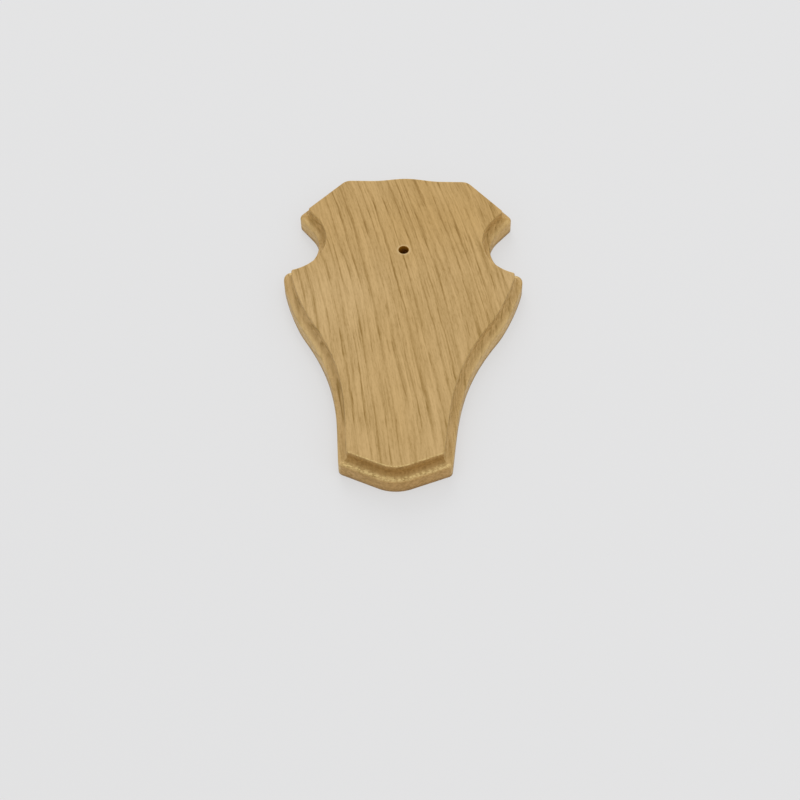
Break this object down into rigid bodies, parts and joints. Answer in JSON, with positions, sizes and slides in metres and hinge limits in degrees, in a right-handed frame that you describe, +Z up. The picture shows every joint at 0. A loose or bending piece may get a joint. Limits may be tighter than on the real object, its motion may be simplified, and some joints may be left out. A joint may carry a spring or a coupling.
{
  "type": "antler mounting plaque",
  "caption": "Shield-shaped wooden plaque with a coved, stepped edge, round side notches and a screw hole, hung on a wall to carry antlers.",
  "frame": {"origin": "middle of the flat back, half way up and half way across", "axes": "+Z up towards the crown, +X to the right as seen from the front, +Y out of the back, into the wall"},
  "size_m": [0.15, 0.018, 0.24],
  "materials": {
    "oak": "satin"
  },
  "bodies": {
    "root": {"plaque": "oak"}
  },
  "joints": []
}
